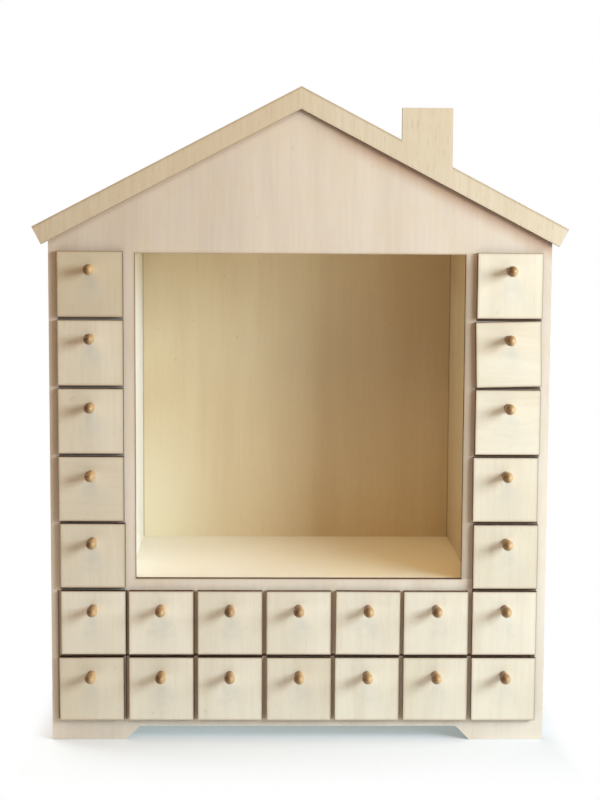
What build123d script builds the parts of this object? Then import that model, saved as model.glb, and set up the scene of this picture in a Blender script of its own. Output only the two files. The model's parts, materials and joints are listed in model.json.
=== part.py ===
from build123d import *
import math
import os

# A house-shaped advent calendar of laser-cut plywood: a gabled cabinet with an open
# display niche, five small drawers on each side of it and two full rows of drawers below.
# Millimetres, +Z up, front towards -Y. The origin is on the ground, under the middle of
# the whole object.

# Plywood
sheet = 4.0
thin_sheet = 3.0

# Drawer grid
columns = 7
side_rows = 5
full_rows = 2
column_pitch = 45.0
row_pitch = 44.25
column_gap = 2.8
row_gap = 2.1

# Drawer: its front laps past the box on every side, and the box runs with these clearances
front_side_lap = 1.9
front_head_lap = 2.75
front_foot_lap = 2.6
side_clearance = 0.6
head_clearance = 0.7
run_clearance = 0.3
back_room = 10.0

# Turned knob, with a tenon through the drawer front
knob_reach = 15.0
knob_rise = 9.6
knob_head_diameter = 7.0
knob_dome_length = 5.2
knob_head_back_length = 5.6
knob_head_back_turn = 45.0
knob_neck_diameter = 4.8
knob_neck_reach = 2.9
knob_foot_diameter = 5.4
tenon_diameter = 4.0
tenon_clearance = 0.05
tenon_end_gap = 0.2

# Cabinet
cabinet_depth = 150.0
panel_lap = 2.5
foot_height = 9.1
foot_width = 48.5
side_foot_width = 30.0
foot_slant = 9.1
base_lift = 3.5
stile_width = 8.6
window_head_lap = 3.0

# Roof and chimney
roof_pitch = 27.5
wall_rise = 9.75
eave_overhang = 10.0
trim_width = 12.7
trim_lip = 0.6
chimney_x = 80.4
chimney_width = 32.4
chimney_rise = 28.7

# Fronts that were glued on a little off true: drawer number, then sideways and upward
# shift in millimetres and turn in degrees, as seen from the front
uneven_fronts = {
    4: (-0.2, 0.0, 1.4),
    8: (-0.8, 0.1, 0.0),
    9: (0.7, 0.3, 0.0),
    11: (0.8, 0.0, 0.0),
    15: (0.4, 0.0, -0.3),
    18: (-0.6, 0.0, 0.3),
    21: (0.3, -0.1, 0.0),
}

# Depth stations along Y
overall_depth = knob_reach + sheet + cabinet_depth + sheet
face_y = -overall_depth / 2 + knob_reach + sheet
inner_y = face_y + sheet
back_y = face_y + cabinet_depth
rear_y = back_y + sheet
inner_depth = back_y - inner_y
inner_middle_y = (inner_y + back_y) / 2

# Drawer sizes
front_width = column_pitch - column_gap
front_height = row_pitch - row_gap
box_width = front_width - 2 * front_side_lap
box_height = front_height - front_foot_lap - run_clearance - front_head_lap
box_length = cabinet_depth - back_room
box_wall_height = box_height - thin_sheet
box_middle_y = face_y + box_length / 2
opening_width = box_width + 2 * side_clearance
opening_height = run_clearance + box_height + head_clearance

# Widths across X
grid_half = columns * column_pitch / 2 - sheet / 2
panel_half = grid_half + sheet + panel_lap
outer_column_x = (columns - 1) / 2 * column_pitch
niche_wall_outer = outer_column_x - opening_width / 2
niche_half = niche_wall_outer - thin_sheet
window_half = niche_wall_outer - stile_width

# Heights along Z
base_top = foot_height + base_lift + sheet
rows = full_rows + side_rows


def floor_z(row):
    """Top of the board that a drawer row runs on, counted from the lowest row."""
    return base_top + row * row_pitch


deck_top = floor_z(full_rows)
niche_floor_top = deck_top + thin_sheet
ceiling_z = floor_z(rows) - thin_sheet
window_top = ceiling_z - window_head_lap
shoulder_z = ceiling_z + sheet + wall_rise

# Roof lines: heights along Z at a distance from the middle
slope = math.tan(math.radians(roof_pitch))
slope_sine = math.sin(math.radians(roof_pitch))
slope_cosine = math.cos(math.radians(roof_pitch))
eave_x = panel_half + eave_overhang


def roof_z(x, above=0.0):
    """Height of the roof boards' underside, or of a line this far above it."""
    return shoulder_z + (panel_half - abs(x)) * slope + above / slope_cosine


trim_above = sheet + trim_lip
eave_z = roof_z(eave_x, trim_above)


def upright(y):
    """Plane across the cabinet, seen from the front, with +Z upwards on the page."""
    return Plane.XZ.offset(-y)


def save(part, name):
    """Label a finished piece, or a group of pieces, and write it."""
    part.label = name
    export_step(part, f"parts/{name}.step")


def eave_corner(depth):
    """Corner of the square-cut eave, this far below the trim's upper edge."""
    return (eave_x - depth * slope_sine, eave_z - depth * slope_cosine)


def gable_outline():
    """Corners of the front and the back panel, with a foot at each lower corner."""
    foot_x = panel_half - foot_width
    right = [(foot_x - foot_slant, foot_height), (foot_x, 0), (panel_half, 0), (panel_half, shoulder_z)]
    left = [(-x, z) for x, z in reversed(right)]
    return right + [(0, roof_z(0))] + left


def drawer_places():
    """Column x and row of every drawer, row by row from the top left."""
    for row in reversed(range(rows)):
        for column in range(columns):
            beside_niche = row >= full_rows and 0 < column < columns - 1
            if not beside_niche:
                yield (column - (columns - 1) / 2) * column_pitch, row


def make_board(low, high):
    """A plain board between two opposite corners."""
    with BuildPart() as board:
        with BuildSketch(Plane.XY.offset(low[2])):
            with Locations(((low[0] + high[0]) / 2, (low[1] + high[1]) / 2)):
                Rectangle(high[0] - low[0], high[1] - low[1])
        extrude(amount=high[2] - low[2])
    return board.part


def make_cross_board(half_width, top, thickness):
    """A board from the front panel to the back panel, centred across the cabinet."""
    return make_board((-half_width, inner_y, top - thickness), (half_width, back_y, top))


def make_side_panel(side):
    """Outer side panel with a bevelled top under the roof and a foot at each end."""
    inner_x = side * grid_half
    outer_x = side * (grid_half + sheet)
    arch_start = inner_y + side_foot_width
    arch_end = back_y - side_foot_width
    with BuildPart() as panel:
        with BuildSketch(upright(inner_y)):
            with BuildLine():
                Polyline(
                    (inner_x, 0),
                    (outer_x, 0),
                    (outer_x, roof_z(outer_x)),
                    (inner_x, roof_z(inner_x)),
                    close=True,
                )
            make_face()
        extrude(amount=-inner_depth)
        with BuildSketch(Plane.YZ):
            with BuildLine():
                Polyline(
                    (arch_start, 0),
                    (arch_end, 0),
                    (arch_end - foot_slant, foot_height),
                    (arch_start + foot_slant, foot_height),
                    close=True,
                )
            make_face()
        extrude(amount=panel_half, both=True, mode=Mode.SUBTRACT)
    return panel.part


def make_roof_board(side):
    """One slope of the roof, mitred at the ridge and cut square at the eave."""
    upper_x, upper_z = eave_corner(trim_lip)
    lower_x, lower_z = eave_corner(trim_above)
    with BuildPart() as board:
        with BuildSketch(upright(face_y)):
            with BuildLine():
                Polyline(
                    (0, roof_z(0)),
                    (0, roof_z(0, sheet)),
                    (side * upper_x, upper_z),
                    (side * lower_x, lower_z),
                    close=True,
                )
            make_face()
        extrude(amount=face_y - rear_y)
    return board.part


def make_drawer_front(plane):
    """Square drawer front with the hole for the knob's tenon, in front of the panel."""
    with BuildPart() as front:
        with BuildSketch(plane):
            Rectangle(front_width, front_height)
            with Locations((0, knob_rise)):
                Circle(tenon_diameter / 2 + tenon_clearance, mode=Mode.SUBTRACT)
        extrude(amount=sheet)
    return front.part


def make_drawer_box(x, bottom_z):
    """Open box behind a drawer front: bottom, two sides, front wall and back wall."""
    with BuildPart() as bottom:
        with BuildSketch(Plane.XY.offset(bottom_z)):
            with Locations((x, box_middle_y)):
                Rectangle(box_width, box_length)
        extrude(amount=thin_sheet)
    with BuildPart() as sides:
        with BuildSketch(Plane.XY.offset(bottom_z + thin_sheet)):
            with Locations((x, box_middle_y)):
                with GridLocations(box_width - thin_sheet, 0, 2, 1):
                    Rectangle(thin_sheet, box_length)
        extrude(amount=box_wall_height)
    with BuildPart() as ends:
        with BuildSketch(Plane.XY.offset(bottom_z + thin_sheet)):
            with Locations((x, box_middle_y)):
                with GridLocations(0, box_length - thin_sheet, 1, 2):
                    Rectangle(box_width - 2 * thin_sheet, thin_sheet)
        extrude(amount=box_wall_height)
    return bottom.part.solids() + sides.part.solids() + ends.part.solids()


def make_knob(foot):
    """Turned knob: tenon, waisted stem and egg-shaped head, on an axis towards the front."""
    head_middle = knob_reach - knob_dome_length
    head_radius = knob_head_diameter / 2
    tenon_end = tenon_end_gap - sheet
    profile = Plane(origin=foot, x_dir=(0, -1, 0), z_dir=(1, 0, 0))
    with BuildPart() as knob:
        with BuildSketch(profile):
            with BuildLine():
                dome = EllipticalCenterArc((head_middle, 0), knob_dome_length, head_radius, 0, arc_size=90)
                shoulder = EllipticalCenterArc(
                    (head_middle, 0), knob_head_back_length, head_radius, 90, arc_size=knob_head_back_turn
                )
                ThreePointArc(
                    shoulder @ 1,
                    (knob_neck_reach, knob_neck_diameter / 2),
                    (0, knob_foot_diameter / 2),
                )
                Polyline(
                    (0, knob_foot_diameter / 2),
                    (0, tenon_diameter / 2),
                    (tenon_end, tenon_diameter / 2),
                    (tenon_end, 0),
                    dome @ 0,
                )
            make_face()
        revolve(axis=Axis(foot, (0, -1, 0)))
    return knob.part


os.makedirs("parts", exist_ok=True)
places = list(drawer_places())

# Front panel, with the niche window and an opening for every drawer box
with BuildPart() as front_panel:
    with BuildSketch(upright(face_y)):
        with BuildLine():
            Polyline(*gable_outline(), close=True)
        make_face()
        with Locations((0, (niche_floor_top + window_top) / 2)):
            Rectangle(2 * window_half, window_top - niche_floor_top, mode=Mode.SUBTRACT)
        with Locations(*[(x, floor_z(row) + opening_height / 2) for x, row in places]):
            Rectangle(opening_width, opening_height, mode=Mode.SUBTRACT)
    extrude(amount=-sheet)
save(front_panel.part, "front_panel")

# Back panel, which is also the back of the niche
with BuildPart() as back_panel:
    with BuildSketch(upright(back_y)):
        with BuildLine():
            Polyline(*gable_outline(), close=True)
        make_face()
    extrude(amount=-sheet)
save(back_panel.part, "back_panel")

# Roof trim, cut in one piece with the chimney
with BuildPart() as roof_trim:
    with BuildSketch(upright(face_y)):
        end_x, end_z = eave_corner(trim_width)
        with BuildLine():
            Polyline(
                (0, roof_z(0, trim_above)),
                (eave_x, eave_z),
                (end_x, end_z),
                (0, roof_z(0, trim_above - trim_width)),
                (-end_x, end_z),
                (-eave_x, eave_z),
                close=True,
            )
        make_face()
        near_x = chimney_x - chimney_width / 2
        far_x = chimney_x + chimney_width / 2
        chimney_top = roof_z(chimney_x, trim_above) + chimney_rise
        trim_middle = trim_above - trim_width / 2
        with BuildLine():
            Polyline(
                (near_x, chimney_top),
                (far_x, chimney_top),
                (far_x, roof_z(far_x, trim_middle)),
                (near_x, roof_z(near_x, trim_middle)),
                close=True,
            )
        make_face()
    extrude(amount=sheet)
save(roof_trim.part, "roof_trim")

# Outer walls and roof
save(Compound(children=[make_side_panel(-1), make_side_panel(1)]), "side_panels")
save(Compound(children=[make_roof_board(-1), make_roof_board(1)]), "roof_boards")

# Boards right across the cabinet
save(make_cross_board(grid_half, base_top, sheet), "base_board")
save(make_cross_board(grid_half, ceiling_z + sheet, sheet), "attic_floor")
row_shelves = [make_cross_board(grid_half, floor_z(row), thin_sheet) for row in range(1, full_rows)]
deck = make_cross_board(grid_half, deck_top, sheet)
save(Compound(children=row_shelves + [deck]), "row_shelves")

# Lining of the display niche
save(make_cross_board(niche_half, niche_floor_top, thin_sheet), "niche_floor")
left_wall = make_board((-niche_wall_outer, inner_y, deck_top), (-niche_half, back_y, ceiling_z))
right_wall = make_board((niche_half, inner_y, deck_top), (niche_wall_outer, back_y, ceiling_z))
save(Compound(children=[left_wall, right_wall]), "niche_walls")

# Short shelves of the two side columns
column_shelves = []
for row in range(full_rows + 1, rows):
    shelf_low = floor_z(row) - thin_sheet
    column_shelves += [
        make_board((-grid_half, inner_y, shelf_low), (-niche_wall_outer, back_y, floor_z(row))),
        make_board((niche_wall_outer, inner_y, shelf_low), (grid_half, back_y, floor_z(row))),
    ]
save(Compound(children=column_shelves), "column_shelves")

# Upright dividers of the full rows
row_dividers = []
for row in range(full_rows):
    board_above = sheet if row == full_rows - 1 else thin_sheet
    divider_height = floor_z(row + 1) - board_above - floor_z(row)
    with BuildPart() as dividers:
        with BuildSketch(Plane.XY.offset(floor_z(row))):
            with Locations((0, inner_middle_y)):
                with GridLocations(column_pitch, 0, columns - 1, 1):
                    Rectangle(sheet, inner_depth)
        extrude(amount=divider_height)
    row_dividers += dividers.part.solids()
save(Compound(children=row_dividers), "row_dividers")

# Drawers and their knobs, numbered row by row from the top left
for number, (x, row) in enumerate(places, start=1):
    shift_x, shift_z, turn = uneven_fronts.get(number, (0.0, 0.0, 0.0))
    front_z = floor_z(row) - front_foot_lap + front_height / 2
    front_plane = Plane(
        origin=(x + shift_x, face_y, front_z + shift_z),
        x_dir=(math.cos(math.radians(turn)), 0, math.sin(math.radians(turn))),
        z_dir=(0, -1, 0),
    )
    knob_foot = front_plane.from_local_coords((0, knob_rise, sheet))
    drawer_front = make_drawer_front(front_plane)
    drawer_box = make_drawer_box(x, floor_z(row) + run_clearance)
    save(Compound(children=[drawer_front] + drawer_box), f"drawer_{number:02d}")
    save(make_knob(knob_foot), f"knob_{number:02d}")
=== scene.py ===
import json
import math
import random

import bpy
from bpy.props import FloatProperty, FloatVectorProperty, IntProperty, PointerProperty
from bpy.types import Operator, Panel, PropertyGroup
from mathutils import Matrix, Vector


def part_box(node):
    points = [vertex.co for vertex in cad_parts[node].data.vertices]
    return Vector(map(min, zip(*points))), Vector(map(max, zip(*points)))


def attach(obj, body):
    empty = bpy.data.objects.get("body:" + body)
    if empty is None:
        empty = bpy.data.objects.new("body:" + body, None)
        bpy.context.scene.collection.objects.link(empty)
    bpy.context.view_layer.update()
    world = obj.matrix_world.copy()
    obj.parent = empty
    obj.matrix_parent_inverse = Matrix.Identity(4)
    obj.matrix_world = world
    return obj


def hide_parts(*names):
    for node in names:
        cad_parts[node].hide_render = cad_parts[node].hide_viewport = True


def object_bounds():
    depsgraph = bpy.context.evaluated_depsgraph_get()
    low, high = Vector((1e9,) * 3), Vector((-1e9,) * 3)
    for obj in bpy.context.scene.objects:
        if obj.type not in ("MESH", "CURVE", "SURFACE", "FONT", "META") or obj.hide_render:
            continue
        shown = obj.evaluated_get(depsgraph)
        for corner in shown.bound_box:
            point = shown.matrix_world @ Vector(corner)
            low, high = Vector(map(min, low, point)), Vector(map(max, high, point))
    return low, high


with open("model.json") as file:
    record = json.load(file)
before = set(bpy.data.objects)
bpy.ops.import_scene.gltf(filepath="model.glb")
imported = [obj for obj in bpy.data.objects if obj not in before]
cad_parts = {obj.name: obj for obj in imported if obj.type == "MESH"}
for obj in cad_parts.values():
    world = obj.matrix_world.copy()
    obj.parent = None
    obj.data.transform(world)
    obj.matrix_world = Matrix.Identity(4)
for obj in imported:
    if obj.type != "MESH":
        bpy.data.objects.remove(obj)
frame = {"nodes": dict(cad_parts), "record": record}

# A house-shaped advent calendar of laser-cut plywood. The boards and drawers are the packed
# solids with plywood finishes, the knobs are turned here, and the stage is a white table.
# Lengths are in metres. A pair of numbers says where a soft mask starts and where it is full.
bl_info = {
    "name": "Advent calendar house",
    "version": (1, 0, 0),
    "blender": (4, 5, 0),
    "location": "3D View > Sidebar > Advent House",
    "description": "Plywood finishes, turned knobs and a white stage for a house-shaped advent calendar",
    "category": "Object",
}

CAD_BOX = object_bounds()
NUMBERS = [f"{number:02d}" for number in range(1, 25)]
INSIDES = {item["name"]: item["box_m"] for item in frame["record"]["physics"]["openings"]}

# Planes of the cabinet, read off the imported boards. The trim and the drawer fronts reach to FRONT_Y.
FACE_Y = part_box("front_panel")[0].y
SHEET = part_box("front_panel")[1].y - FACE_Y
FRONT_Y = FACE_Y - SHEET
BACK_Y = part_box("back_panel")[0].y
SIDE_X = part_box("side_panels")[1].x - SHEET
NICHE_WALL_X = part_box("niche_floor")[1].x
BOX_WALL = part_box("niche_floor")[1].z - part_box("niche_floor")[0].z

# The two slopes of the roof, and the chimney on the right one
ROOF_PITCH = math.radians(27.5)
RIDGE_TOP_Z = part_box("roof_boards")[1].z
TRIM_WIDTH = 0.0127
CHIMNEY_LEFT = 0.0642
CHIMNEY_RIGHT = 0.0966

# The window of the front panel
WINDOW_HALF = 0.1066
WINDOW_LOW = 0.1081
WINDOW_HIGH = 0.32035

# Parts of a normal along an axis: where a cut edge turns into a face, and where a face looks that way
EDGE_TURN = (0.4, 0.6)
FACING = 0.5

# Grain that has no setting: sizes across it, along it and through the sheet
WANDER_SIZE = (0.05, 0.19, 0.05)
WANDER_SWING = 2.2
FIGURE_THROUGH = 0.02
STREAK_THROUGH = 0.006
PORE_THROUGH = 0.003
CLOUD_STRETCH = 1.6
SPECK_SIZE = (0.0032, 0.0055, 0.01)
BURN_SIZE = (0.0011, 0.0011, 0.012)

# Grain on a face: the part of each noise that shows, how strongly, and what keeps its middle in place
FIGURE_RANGE, FIGURE_SHARE, FIGURE_MIDDLE = (0.30, 0.75), 0.23, 0.08
STREAK_RANGE, STREAK_SHARE, STREAK_MIDDLE = (0.30, 0.75), 0.11, 0.04
CLOUD_RANGE, CLOUD_SHARE = (0.45, 0.75), 0.28
PORE_RANGE, PORE_SHARE = (0.58, 0.78), 0.11
SPECK_RANGE, SPECK_SHARE = (0.80, 0.90), 0.20
FACE_TONE = 0.12

# A laser-cut edge: its layers as shares of the sheet's thickness, and how dark they are
SHEET_MIDDLE = 0.5
GLUE_FROM_MIDDLE, GLUE_RANGE, GLUE_SHARE = 0.24, (0.015, 0.075), 0.45
CORE_RANGE, CORE_SHARE = (0.16, 0.24), 0.16
BURN_RANGE, BURN_SHARE = (0.28, 0.66), 0.62
CUT_TONE = 0.12

# Gloss, roughness and relief of faces and cut edges
FACE_GLOSS = 0.15
FACE_ROUGH_SWING = 0.14
CUT_ROUGHNESS, CUT_ROUGH_SWING = 0.70, 0.12
STREAK_RELIEF, PORE_RELIEF = 0.45, 0.55
BURN_RELIEF, GLUE_RELIEF = 0.7, 0.3
BUMP_STRENGTH = 0.55

# The brown line and the haze beside a cut
SINGE_LINE, SINGE_LINE_SHARE, SINGE_HAZE_SHARE = (0.0001, 0.0008), 0.50, 0.20

# Each board's place in the noise, so that no two look alike, and how far a place shifts the grain
BOARD_SEEDS = {
    "front_panel": 3.0,
    "back_panel": 11.0,
    "roof_trim": 23.0,
    "side_panels": 31.0,
    "niche_walls": 43.0,
    "row_dividers": 47.0,
    "base_board": 53.0,
    "row_shelves": 59.0,
    "niche_floor": 61.0,
    "attic_floor": 67.0,
    "column_shelves": 71.0,
    "roof_boards": 79.0,
}
SEED_SHIFT = 0.731

# Front panel: painted shade, darker towards the top and at the left of the gable; painted light, paler at its
# right; a darker foot and a paler tone all over, and by how much; and its soft yellow mottling
UPPER_Z, UPPER_SHADE = (0.10, 0.36), 0.38
FOOT_Z, FOOT_DEEPER = (0.05, 0.0), 0.20
LEFT_GABLE_X, LEFT_GABLE_Z, LEFT_GABLE_SHADE = (0.02, -0.12), (0.30, 0.34), 0.17
RIGHT_MARGIN_X, RIGHT_MARGIN_LIGHT = (0.10, 0.16), 0.10
PANEL_PALER = 0.05
PANEL_GRAIN = 0.8
MOTTLE_SIZE, MOTTLE_RANGE, MOTTLE_SHARE = (0.017, 0.024, 0.02), (0.35, 0.75), 0.17

# Front panel, under the roof trim: warm shade that is wider on the right slope
EAVES_X = (-0.005, 0.045)
LEFT_SHADE_REACH, LEFT_SHADE = 0.009, 0.30
RIGHT_SHADE_REACH, RIGHT_SHADE = 0.012, 0.50
EAVES_LINE_REACH, EAVES_LINE = 0.0025, 0.25

# Front panel, between the drawer fronts: painted shade across the rows (its reach in halves of a gap), and
# painted warm shade and a dark line between the columns of the two full rows
ROW_GAPS = 6
GAP_SHADE_REACH = (0.5, 1.3)
LEFT_GAP_SHADE, RIGHT_GAP_SHADE, FULL_ROW_GAP_SHADE = 0.60, 0.90, 0.95
FULL_ROW_MARGIN = 3.0
COLUMN_GAP_SHADE_X, COLUMN_GAP_SHADE = (0.0015, 0.003), 0.25
COLUMN_LINE_LEFT, COLUMN_LINE_X, COLUMN_LINE = 0.0010, (0.0002, 0.0007), 0.7
# Painted shadow of the right drawer column on the panel beside the window, and how it fades below the
# window's top
STILE_SHADOW, STILE_FADE = 0.32, 0.01

# Roof: the trim's upper edge is less singed and its left slope is darker with painted shade, and the two roof
# boards lie apart in the noise
UPPER_SINGE = 0.6
TRIM_LEFT_X, TRIM_LEFT_SHADE = (0.02, -0.06), 0.3
TRIM_GRAIN = 3.2
SLOPES_APART = 0.02

# Back panel: upright bands, and on the niche's side corner lines, painted light that makes its left foot
# paler, and painted shade that makes it browner to the right, most of all at the top
BAND_SIZE, BAND_SHIFT = (0.04, 1.4, 1.0), (3.0, 0.0, 0.0)
BAND_RANGE, BAND_SHARE = (0.35, 0.65), 0.16
CORNER_LINE, CORNER_SHARE = (0.0002, 0.0011), 0.55
LEFT_FOOT_LIGHT_X, LEFT_FOOT_LIGHT_Z, LEFT_FOOT_LIGHT_SHARE = (-0.03, -0.115), (0.22, 0.12), 0.8
RIGHT_BACK_X, RIGHT_BACK_SHADE = (-0.02, 0.11), 0.28
RIGHT_TOP_X, RIGHT_TOP_Z = (0.0, 0.10), (0.12, 0.32)
RIGHT_TOP_SHADE, RIGHT_FOOT_PALER = 1.1, 0.3
BACK_PALER = 0.10
BACK_GRAIN = 0.9

# Side panels, niche walls with painted shade at their top and on the right wall, and boards that lie flat
SIDE_DEEPER = 0.6
WALL_TOP_Z, WALL_TOP_SHADE = (0.27, 0.33), 0.8
RIGHT_WALL_SHADE, WALL_PALER = 0.6, 0.15
# How deep and how strongly the niche's left wall is greyer towards its front
FRONT_GREY_DEPTH, FRONT_GREY_SHARE = 0.05, 0.5
# Painted shade that makes the flat boards browner to the right, and their paler tone
LYING_X, LYING_RIGHT_SHADE, LYING_PALER = (-0.06, 0.11), 0.55, 0.1
LYING_GRAIN = 0.4

# Drawer fronts that were cut with their grain sideways
SIDEWAYS_GRAIN = ("04", "06", "07")

# The sheets that the drawer fronts were cut from: how dark each one is, and its fronts
SHEETS = {
    "brown": (0.95, ("01",)),
    "tan": (0.44, ("03", "05", "07", "09", "10", "18")),
    "plain": (0.32, ("02", "04", "06", "08", "21", "23")),
    "pale": (0.21, ("13", "14", "15", "16", "17", "19", "20", "22", "24")),
    "white": (0.05, ("11", "12")),
}
DRAWER_CHANCE = 24
DRAWER_SEEDS = (0.0, 60.0)

# How dark the sheet of the drawer boxes is, and how its edges are told from its faces
BOX_TONE = 0.85
OPENING_MARGIN = 0.0001
RIM_MARGIN = 0.0004
FACE_MARGIN = 0.00005

# Grey marks on a drawer: where hands touch its front below the knob, and faint patches all over
SMUDGE_HALF_WIDTH, SMUDGE_HALF_HEIGHT, SMUDGE_DROP = 0.013, 0.009, 0.0045
SMUDGE_FADE, SMUDGE_SHARE = (0.05, 1.0), 0.30
BLOT_SIZE, BLOT_RANGE = (0.006, 0.005, 1.0), (0.3, 0.7)
PATCH_SIZE, PATCH_RANGE, PATCH_SHARE = (0.011, 0.014, 1.0), (0.52, 0.78), 0.14

# Turned knobs: where the egg-shaped head runs into the stem, as a turn from the knob's axis, and the
# rings of the stem, the head's back and its dome
KNOB_BACK_TURN = math.radians(45)
STEM_STEPS, BACK_STEPS, DOME_STEPS = 8, 8, 12
SMOOTH_ANGLE = math.radians(40)

# Wood of the knobs: fine grain along the knob, lathe rings, changes from one knob to the next, and painted
# shade on each knob's left side
KNOB_GRAIN_SIZE, KNOB_GRAIN_RANGE, KNOB_GRAIN_SHARE = (0.0011, 0.009, 0.0011), (0.3, 0.7), 0.24
LATHE_SIZE = (0.02, 0.00035, 0.02)
BATCH_SIZE, BATCH_RANGE, BATCH_SHARE = (0.031, 0.2, 0.027), (0.35, 0.65), 0.24
SHADED_SIDE_TURN, SHADED_SIDE_SHARE, KNOB_PALER = (0.85, -0.55), 0.75, 0.08
KNOB_ROUGHNESS, KNOB_ROUGH_SWING, KNOB_GLOSS = 0.34, 0.12, 0.5
KNOB_GRAIN_RELIEF, LATHE_RELIEF = 0.6, 0.4
KNOB_BUMP_STRENGTH, KNOB_RELIEF = 0.3, 0.00006

# The table, and its shadow as it is seen: where it starts and how far it reaches from the house, and
# how much plain white is laid over it. The glow reaches further, and both end sooner at the sides.
TABLE_SIZE, TABLE_DROP = 8.0, 0.0001
SHADOW_START, SHADOW_REACH, SHADOW_LEAST = -0.02, 0.11, 0.16
GLOW_REACH = 0.22
SIDE_FADE = 6.0

# The lights look at this height, and the camera stands a little left of the middle
AIM_Z = 0.20
CAMERA_X, CAMERA_AWAY, CAMERA_Z = -0.02018, 1.14147, 0.35099
CAMERA_TURN = [math.radians(degrees) for degrees in (83.75, -0.312, -0.984)]
SENSOR_WIDTH = 36.0

WHITE = (1.0, 1.0, 1.0, 1.0)


def colour_setting(name, description, default):
    """A colour that a user would change."""
    return FloatVectorProperty(
        name=name, description=description, subtype="COLOR", size=3, min=0.0, max=1.0, default=default
    )


def length_setting(name, description, default):
    """A length in metres that a user would change."""
    return FloatProperty(
        name=name, description=description, unit="LENGTH", min=0.0, precision=5, default=default
    )


def share_setting(name, description, default):
    """A share between nothing and all."""
    return FloatProperty(
        name=name, description=description, subtype="FACTOR", min=0.0, max=1.0, default=default
    )


def angle_setting(name, description, degrees):
    """An angle that a user would change, given in degrees."""
    return FloatProperty(name=name, description=description, subtype="ANGLE", default=math.radians(degrees))


def power_setting(name, description, default):
    """The power of a light in watts."""
    return FloatProperty(name=name, description=description, unit="POWER", min=0.0, default=default)


class PlywoodSettings(PropertyGroup):
    """Colours and grain of the plywood."""

    pale: colour_setting("Pale wood", "Lighter wood of the drawers", (0.84, 0.785, 0.68))
    tan: colour_setting("Tan wood", "Darker wood of the drawers", (0.59, 0.50, 0.37))
    rose: colour_setting("Rose wood", "Lighter wood of the front panel and the sides", (0.785, 0.70, 0.605))
    dusk: colour_setting("Dusk wood", "Darker wood of the front panel and the sides", (0.495, 0.405, 0.33))
    wheat: colour_setting("Wheat wood", "Lighter wood of the roof", (0.645, 0.555, 0.43))
    oat: colour_setting("Oat wood", "Darker wood of the roof", (0.54, 0.43, 0.29))
    cream: colour_setting("Cream wood", "Lighter wood of the niche's back", (0.80, 0.66, 0.44))
    straw: colour_setting("Straw wood", "Darker wood of the niche's back", (0.66, 0.49, 0.29))
    # Painted light on the niche's left foot
    lit_sand: colour_setting("Sand wood", "Bleached wood at the niche's left foot", (0.93, 0.87, 0.66))
    # The niche's floor and ceiling get these paler woods as painted light
    ivory: colour_setting("Ivory wood", "Lighter wood of the niche's floor and ceiling", (0.985, 0.945, 0.85))
    butter: colour_setting("Butter wood", "Darker wood of the niche's floor and ceiling", (0.98, 0.83, 0.52))
    # The niche's left wall gets these paler woods as painted light
    chalk: colour_setting("Chalk wood", "Lighter wood of the niche's left wall", (0.97, 0.96, 0.92))
    linen: colour_setting("Linen wood", "Darker wood of the niche's left wall", (0.93, 0.83, 0.58))
    smudge: colour_setting("Smudge", "Grey handling marks", (0.60, 0.57, 0.50))
    speck: colour_setting("Specks", "Short pores and pin specks", (0.40, 0.29, 0.17))
    # Singe is also painted as shade between the drawer columns and on the stile beside the window
    singe_and_shade: colour_setting("Singe", "Brown haze that the laser leaves beside a cut", (0.27, 0.15, 0.065))
    # Toast is also painted as shade in the gaps between the rows of drawer fronts
    toast_and_shade: colour_setting("Toasted edge", "Lighter brown of a laser-cut edge", (0.13, 0.065, 0.035))
    soot: colour_setting("Sooty edge", "Darkest brown of a laser-cut edge", (0.030, 0.013, 0.008))
    peach: colour_setting("Peach", "Warm shade under the left roof slope", (0.92, 0.66, 0.44))
    umber: colour_setting("Umber", "Warm shade under the right roof slope", (0.40, 0.134, 0.02))
    figure_width: length_setting("Figure width", "Width of the broad bands along the grain", 0.022)
    figure_length: length_setting("Figure length", "Length of the broad bands", 0.26)
    streak_width: length_setting("Streak width", "Width of the streaks along the grain", 0.0026)
    streak_length: length_setting("Streak length", "Length of the streaks", 0.055)
    pore_width: length_setting("Pore width", "Width of the fine pores", 0.0007)
    pore_length: length_setting("Pore length", "Length of the fine pores", 0.009)
    cloud_size: length_setting("Cloud size", "Size of the soft clouds", 0.07)
    singe_width: length_setting("Singe width", "Reach of the haze beside a cut", 0.0022)
    relief: length_setting("Relief", "Height of the grain's relief", 0.00003)
    sheen: share_setting("Roughness", "Roughness of the sanded face", 0.62)


class KnobSettings(PropertyGroup):
    """Shape and colours of the turned knobs."""

    # The brown wood is also painted on each knob's left side as shade
    honey: colour_setting("Honey wood", "Sapwood of the knobs", (0.54, 0.35, 0.165))
    brown: colour_setting("Brown wood", "Heartwood of the knobs", (0.17, 0.08, 0.03))
    sides: IntProperty(name="Sides", description="Faces round the knob", default=36, min=12, max=96)
    dome_length: length_setting("Dome length", "From the widest place of the head to its tip", 0.0052)
    back_length: length_setting("Back length", "From the widest place of the head to its stem", 0.0056)
    neck_radius: length_setting("Neck radius", "Thinnest radius of the stem", 0.0024)
    foot_radius: length_setting("Foot radius", "Radius of the stem on the drawer front", 0.0027)
    tenon_radius: length_setting("Tenon radius", "Radius of the tenon in the drawer front", 0.0020)


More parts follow.
